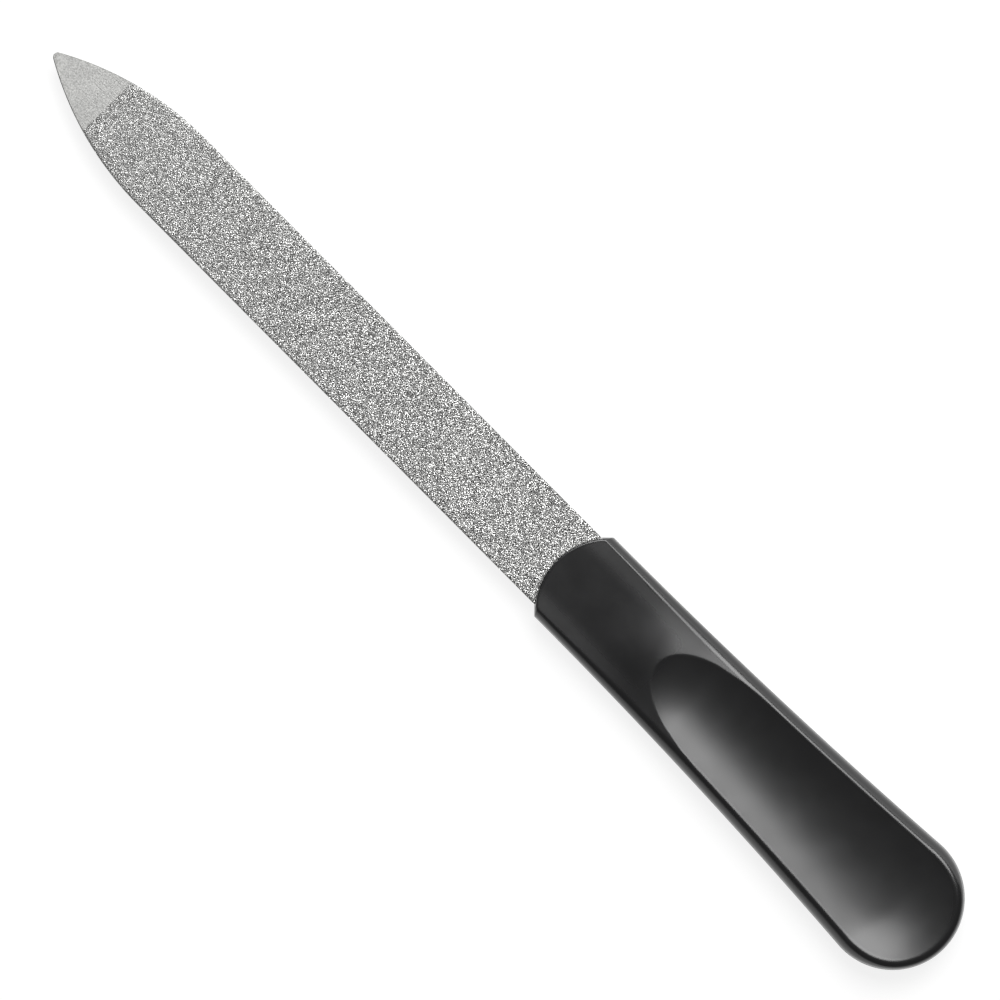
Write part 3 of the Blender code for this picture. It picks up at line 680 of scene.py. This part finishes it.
def moulded_abs():
    """Black ABS from a mould with a fine satin texture: near black, half gloss, with the faint
    waves of uneven shrinkage in its reflections, polished by hands along its rims, and glossier
    along the middle of the land, where the mould has a polished insert."""
    made, tree = new_material("moulded_black_abs")
    place = put(tree, "ShaderNodeTexCoord", {}).outputs["Object"]
    waves = put(
        tree,
        "ShaderNodeTexNoise",
        {"Vector": place, "Scale": per_metre(SHRINKAGE_WAVES), "Detail": 1.0},
    )
    grain = put(
        tree,
        "ShaderNodeTexNoise",
        {"Vector": place, "Scale": per_metre(MOULD_TEXTURE), "Detail": 2.0},
    )
    haze = put(
        tree,
        "ShaderNodeTexNoise",
        {"Vector": place, "Scale": per_metre(HANDLING_HAZE), "Detail": 3.0},
    )
    rub_scale = [per_metre(size) for size in (RUB_LENGTH, RUB_WIDTH, RUB_WIDTH)]
    long_way = put(tree, "ShaderNodeMapping", {"Vector": place, "Scale": rub_scale})
    rubs = put(
        tree,
        "ShaderNodeTexNoise",
        {"Vector": long_way.outputs["Vector"], "Scale": 1.0},
    )
    rim = put(tree, "ShaderNodeAttribute", {}, attribute_name="rim_wear")
    colour = put(
        tree,
        "ShaderNodeMix",
        {
            MIX_SHARE: haze.outputs["Fac"],
            MIX_FIRST: linear("#0e0e0f"),
            MIX_SECOND: linear("#131314"),
        },
        data_type="RGBA",
    )
    dull = put(
        tree,
        "ShaderNodeMapRange",
        {
            "Value": haze.outputs["Fac"],
            "From Min": NOISE_LOW,
            "From Max": NOISE_HIGH,
            "To Min": 0.29,
            "To Max": 0.32,
        },
    )
    rubbed = put(
        tree,
        "ShaderNodeMapRange",
        {
            "Value": rubs.outputs["Fac"],
            "From Min": RUBS_FROM,
            "From Max": RUBS_FULL,
            "To Min": 0.0,
            "To Max": RUB_ROUGHNESS,
        },
    )
    with_rubs = put(
        tree,
        "ShaderNodeMath",
        {0: dull.outputs[0], 1: rubbed.outputs[0]},
        operation="ADD",
    )
    polish = put(
        tree,
        "ShaderNodeMath",
        {0: rim.outputs["Fac"], 1: -RIM_POLISH, 2: with_rubs.outputs[0]},
        operation="MULTIPLY_ADD",
    )
    split = put(tree, "ShaderNodeSeparateXYZ", {"Vector": place})
    aside = put(tree, "ShaderNodeMath", {0: split.outputs["Y"]}, operation="ABSOLUTE")
    middle = put(
        tree,
        "ShaderNodeMapRange",
        {
            "Value": aside.outputs[0],
            "From Min": INSERT_HALF * MM,
            "From Max": INSERT_EDGE * MM,
            "To Min": -LAND_POLISH,
            "To Max": 0.0,
        },
        interpolation_type="SMOOTHSTEP",
    )
    ahead = put(
        tree,
        "ShaderNodeMapRange",
        {
            "Value": split.outputs["X"],
            "From Min": INSERT_REAR_X * MM,
            "From Max": INSERT_FRONT_X * MM,
            "To Min": 0.0,
            "To Max": 1.0,
        },
        interpolation_type="SMOOTHSTEP",
    )
    roughness = put(
        tree,
        "ShaderNodeMath",
        {0: middle.outputs[0], 1: ahead.outputs[0], 2: polish.outputs[0]},
        operation="MULTIPLY_ADD",
    )
    slow = put(
        tree,
        "ShaderNodeBump",
        {"Height": waves.outputs["Fac"], "Distance": WAVE_HEIGHT * MM},
    )
    fine = put(
        tree,
        "ShaderNodeBump",
        {
            "Height": grain.outputs["Fac"],
            "Distance": TEXTURE_HEIGHT * MM,
            "Normal": slow.outputs["Normal"],
        },
    )
    shader = put(
        tree,
        "ShaderNodeBsdfPrincipled",
        {
            "Base Color": colour.outputs[MIX_RESULT],
            "Roughness": roughness.outputs[0],
            "IOR": 1.6,
            "Normal": fine.outputs["Normal"],
        },
    )
    put(tree, "ShaderNodeOutputMaterial", {"Surface": shader.outputs[0]})
    return made


def ground_steel():
    """Stainless strip, ground and tumbled: a pale satin grey with fine mottling and faint lines
    along its length, and darker walls round the blank's outline."""
    made, tree = new_material("satin_ground_steel")
    place = put(tree, "ShaderNodeTexCoord", {}).outputs["Object"]
    edge = put(tree, "ShaderNodeAttribute", {}, attribute_name="stamped_edge")
    mottle = put(
        tree,
        "ShaderNodeTexNoise",
        {"Vector": place, "Scale": per_metre(STEEL_MOTTLE), "Detail": 3.0},
    )
    cloud = put(
        tree,
        "ShaderNodeTexNoise",
        {"Vector": place, "Scale": per_metre(STEEL_CLOUDS), "Detail": 2.0},
    )
    line_scale = [per_metre(size) for size in (GRINDING_LENGTH, GRINDING_WIDTH, GRINDING_WIDTH)]
    long_way = put(tree, "ShaderNodeMapping", {"Vector": place, "Scale": line_scale})
    lines = put(
        tree,
        "ShaderNodeTexNoise",
        {"Vector": long_way.outputs["Vector"], "Scale": 1.0},
    )
    satin = put(
        tree,
        "ShaderNodeMix",
        {
            MIX_SHARE: mottle.outputs["Fac"],
            MIX_FIRST: linear("#5a5a59"),
            MIX_SECOND: linear("#c2c2c0"),
        },
        data_type="RGBA",
    )
    colour = put(
        tree,
        "ShaderNodeMix",
        {
            MIX_SHARE: edge.outputs["Fac"],
            MIX_FIRST: satin.outputs[MIX_RESULT],
            MIX_SECOND: linear("#7a7a78"),
        },
        data_type="RGBA",
    )
    roughness = put(
        tree,
        "ShaderNodeMapRange",
        {
            "Value": cloud.outputs["Fac"],
            "From Min": NOISE_LOW,
            "From Max": NOISE_HIGH,
            "To Min": 0.44,
            "To Max": 0.52,
        },
    )
    ripples = put(
        tree,
        "ShaderNodeMath",
        {0: mottle.outputs["Fac"], 1: lines.outputs["Fac"]},
        operation="ADD",
    )
    bump = put(
        tree,
        "ShaderNodeBump",
        {"Height": ripples.outputs[0], "Distance": MOTTLE_HEIGHT * MM},
    )
    shader = put(
        tree,
        "ShaderNodeBsdfPrincipled",
        {
            "Base Color": colour.outputs[MIX_RESULT],
            "Roughness": roughness.outputs[0],
            "Metallic": 1.0,
            "Normal": bump.outputs["Normal"],
        },
    )
    put(tree, "ShaderNodeOutputMaterial", {"Surface": shader.outputs[0]})
    return made


def corundum_grit():
    """Crushed corundum in a metallic bond: sharp grains from dark to pale grey, each broken up
    into chips that lean their own way and catch the light by themselves. Their tones are partly
    their own and partly painted: painted shade in the darkest, the hollows, which are also
    rougher, and painted glints on the palest. Grains differ more from each other towards the
    handle, where the coat is coarser."""
    made, tree = new_material("corundum_grit_in_metal_bond")
    place = put(tree, "ShaderNodeTexCoord", {}).outputs["Object"]
    along = put(tree, "ShaderNodeSeparateXYZ", {"Vector": place}).outputs["X"]
    spread = put(
        tree,
        "ShaderNodeMapRange",
        {
            "Value": along,
            "From Min": CONTRAST_FRONT_X * MM,
            "From Max": CONTRAST_REAR_X * MM,
            "To Min": FRONT_CONTRAST,
            "To Max": REAR_CONTRAST,
        },
    )
    chips = put(
        tree,
        "ShaderNodeTexVoronoi",
        {"Vector": place, "Scale": per_metre(GRAIN_CHIPS)},
    )
    off_upright = put(
        tree,
        "ShaderNodeVectorMath",
        {0: chips.outputs["Color"], 1: (0.5, 0.5, 0.5)},
        operation="SUBTRACT",
    )
    lean = put(
        tree,
        "ShaderNodeMath",
        {0: spread.outputs[0], 1: CHIP_LEAN},
        operation="MULTIPLY",
    )
    leaning = put(
        tree,
        "ShaderNodeVectorMath",
        {0: off_upright.outputs["Vector"], "Scale": lean.outputs[0]},
        operation="SCALE",
    )
    surface = put(tree, "ShaderNodeNewGeometry", {})
    leant = put(
        tree,
        "ShaderNodeVectorMath",
        {0: surface.outputs["Normal"], 1: leaning.outputs["Vector"]},
        operation="ADD",
    )
    facing = put(
        tree,
        "ShaderNodeVectorMath",
        {0: leant.outputs["Vector"]},
        operation="NORMALIZE",
    )
    chip = put(tree, "ShaderNodeSeparateColor", {"Color": chips.outputs["Color"]})
    grain = put(tree, "ShaderNodeAttribute", {}, attribute_name="grain_tone_and_edge_shade")
    both = put(
        tree,
        "ShaderNodeMath",
        {0: chip.outputs["Blue"], 1: CHIP_SHARE, 2: grain.outputs["Fac"]},
        operation="MULTIPLY_ADD",
    )
    off_middle = put(
        tree,
        "ShaderNodeMath",
        {0: both.outputs[0], 1: MIDDLE_SHARE},
        operation="SUBTRACT",
    )
    tone = put(
        tree,
        "ShaderNodeMath",
        {0: off_middle.outputs[0], 1: spread.outputs[0], 2: MIDDLE_TONE},
        operation="MULTIPLY_ADD",
        use_clamp=True,
    )
    # Painted shade and painted glints: the stretched tone runs from near black in the hollows to
    # near white on the palest grains.
    colour = put(
        tree,
        "ShaderNodeMix",
        {
            MIX_SHARE: tone.outputs[0],
            MIX_FIRST: linear("#080808"),
            MIX_SECOND: linear("#f4f4f2"),
        },
        data_type="RGBA",
    )
    drifts = put(
        tree,
        "ShaderNodeTexNoise",
        {"Vector": place, "Scale": per_metre(COAT_DRIFTS), "Detail": 2.0},
    )
    polish = put(
        tree,
        "ShaderNodeMapRange",
        {
            "Value": drifts.outputs["Fac"],
            "From Min": NOISE_LOW,
            "From Max": NOISE_HIGH,
            "To Min": 0.26,
            "To Max": 0.32,
        },
    )
    hollows = put(
        tree,
        "ShaderNodeMapRange",
        {
            "Value": tone.outputs[0],
            "From Min": 0.0,
            "From Max": HOLLOW_TONE,
            "To Min": HOLLOW_ROUGHNESS,
            "To Max": 0.0,
        },
    )
    roughness = put(
        tree,
        "ShaderNodeMath",
        {0: polish.outputs[0], 1: hollows.outputs[0]},
        operation="ADD",
    )
    shader = put(
        tree,
        "ShaderNodeBsdfPrincipled",
        {
            "Base Color": colour.outputs[MIX_RESULT],
            "Roughness": roughness.outputs[0],
            "Metallic": 0.55,
            "IOR": 1.76,
            "Normal": facing.outputs["Vector"],
        },
    )
    put(tree, "ShaderNodeOutputMaterial", {"Surface": shader.outputs[0]})
    return made


def studio_board():
    """A matt white board: what the lamps give it is topped up to white for the eye and for what
    mirrors it, so that only the object's soft shadow darkens it."""
    made, tree = new_material("white_studio_board")
    path = put(tree, "ShaderNodeLightPath", {})
    camera_or_gloss = put(
        tree,
        "ShaderNodeMath",
        {0: path.outputs["Is Camera Ray"], 1: path.outputs["Is Glossy Ray"]},
        operation="ADD",
    )
    seen = put(
        tree,
        "ShaderNodeMath",
        {0: camera_or_gloss.outputs[0], 1: path.outputs["Is Transmission Ray"]},
        operation="ADD",
        use_clamp=True,
    )
    lift = put(
        tree,
        "ShaderNodeMath",
        {0: seen.outputs[0], 1: BOARD_LIFT},
        operation="MULTIPLY",
    )
    grey = (BOARD_ALBEDO, BOARD_ALBEDO, BOARD_ALBEDO, 1.0)
    matt = put(tree, "ShaderNodeBsdfDiffuse", {"Color": grey})
    glow = put(tree, "ShaderNodeEmission", {"Strength": lift.outputs[0]})
    both = put(tree, "ShaderNodeAddShader", {0: matt.outputs[0], 1: glow.outputs[0]})
    put(tree, "ShaderNodeOutputMaterial", {"Surface": both.outputs[0]})
    return made


# Studio

# The surround's light, as a share of the board's, and the slopes over the horizon between which
# it fades
BOARD_LIGHT, ROOM_LIGHT = 1.0, 0.22
FADE_START, FADE_END = 0.02, 0.08


def make_floor():
    """A board far wider than the view, just under the file."""
    half, z = FLOOR_HALF, FLOOR_Z
    corners = [(-half, -half, z), (half, -half, z), (half, half, z), (-half, half, z)]
    floor = new_object("studio_floor", corners, [(0, 1, 2, 3)])
    floor.data.materials.append(studio_board())


def softbox(name, bearing, from_zenith, distance, size, radiance):
    """A rectangular lamp that faces the object, placed by two angles and a distance in metres,
    as its size is. Its power is its area times four times the brightness that its face shows."""
    lamp = bpy.data.lights.new(name, "AREA")
    lamp.shape = "RECTANGLE"
    lamp.size, lamp.size_y = size
    lamp.energy = 4 * size[0] * size[1] * radiance
    obj = bpy.data.objects.new(name, lamp)
    obj.rotation_euler = (from_zenith, 0.0, bearing)
    reach = math.sin(from_zenith) * distance
    height = math.cos(from_zenith) * distance
    obj.location = (reach * math.sin(bearing), -reach * math.cos(bearing), height)
    obj.visible_camera = False
    bpy.context.scene.collection.objects.link(obj)


def make_surround():
    """A dim grey room with a white board all round at floor level, which fades out upwards."""
    world = bpy.data.worlds.new("studio_surround")
    world.use_nodes = True
    tree = world.node_tree
    tree.nodes.clear()
    towards = put(tree, "ShaderNodeTexCoord", {}).outputs["Generated"]
    split = put(tree, "ShaderNodeSeparateXYZ", {"Vector": towards})
    strength = put(
        tree,
        "ShaderNodeMapRange",
        {
            "Value": split.outputs["Z"],
            "From Min": FADE_START,
            "From Max": FADE_END,
            "To Min": BOARD_LIGHT,
            "To Max": ROOM_LIGHT,
        },
    )
    back = put(tree, "ShaderNodeBackground", {"Strength": strength.outputs[0]})
    put(tree, "ShaderNodeOutputWorld", {"Surface": back.outputs[0]})
    bpy.context.scene.world = world


def make_camera():
    """A camera straight above, turned so that the file lies along the picture's diagonal. The
    lens makes a pixel cover its size: sensor width * distance / (picture width * pixel)."""
    lens = bpy.data.cameras.new("camera")
    lens.sensor_width = SENSOR_WIDTH
    lens.lens = SENSOR_WIDTH * VIEW_DISTANCE / (PICTURE_WIDTH * PIXEL)
    lens.clip_end = VIEW_DEPTH * MM
    camera = bpy.data.objects.new("camera", lens)
    turn = math.radians(VIEW_TURN)
    right = np.array([math.cos(turn), math.sin(turn), 0.0])
    up = np.array([-math.sin(turn), math.cos(turn), 0.0])
    aim = PIXEL * (VIEW_SHIFT_RIGHT * right + VIEW_SHIFT_UP * up)
    camera.location = (aim + [0.0, 0.0, VIEW_DISTANCE]) * MM
    camera.rotation_euler = (0.0, 0.0, turn)
    bpy.context.scene.collection.objects.link(camera)
    bpy.context.scene.camera = camera


make_camera()
make_floor()
make_surround()
softbox(
    "main_softbox",
    bearing=math.radians(26.0),
    from_zenith=math.radians(29.4),
    distance=0.75,
    size=(0.54, 0.49),
    radiance=6.0,
)
softbox(
    "low_strip",
    bearing=0.0,
    from_zenith=math.radians(74.0),
    distance=0.8,
    size=(1.0, 0.4),
    radiance=1.2,
)
bpy.context.scene.view_settings.view_transform = "Standard"

grit = corundum_grit()
make_blade(ground_steel())
make_coat("upper_grit", "upper_grit_coat", side=1, seed=11, material=grit)
make_coat("lower_grit", "lower_grit_coat", side=-1, seed=23, material=grit)
make_handle(moulded_abs())
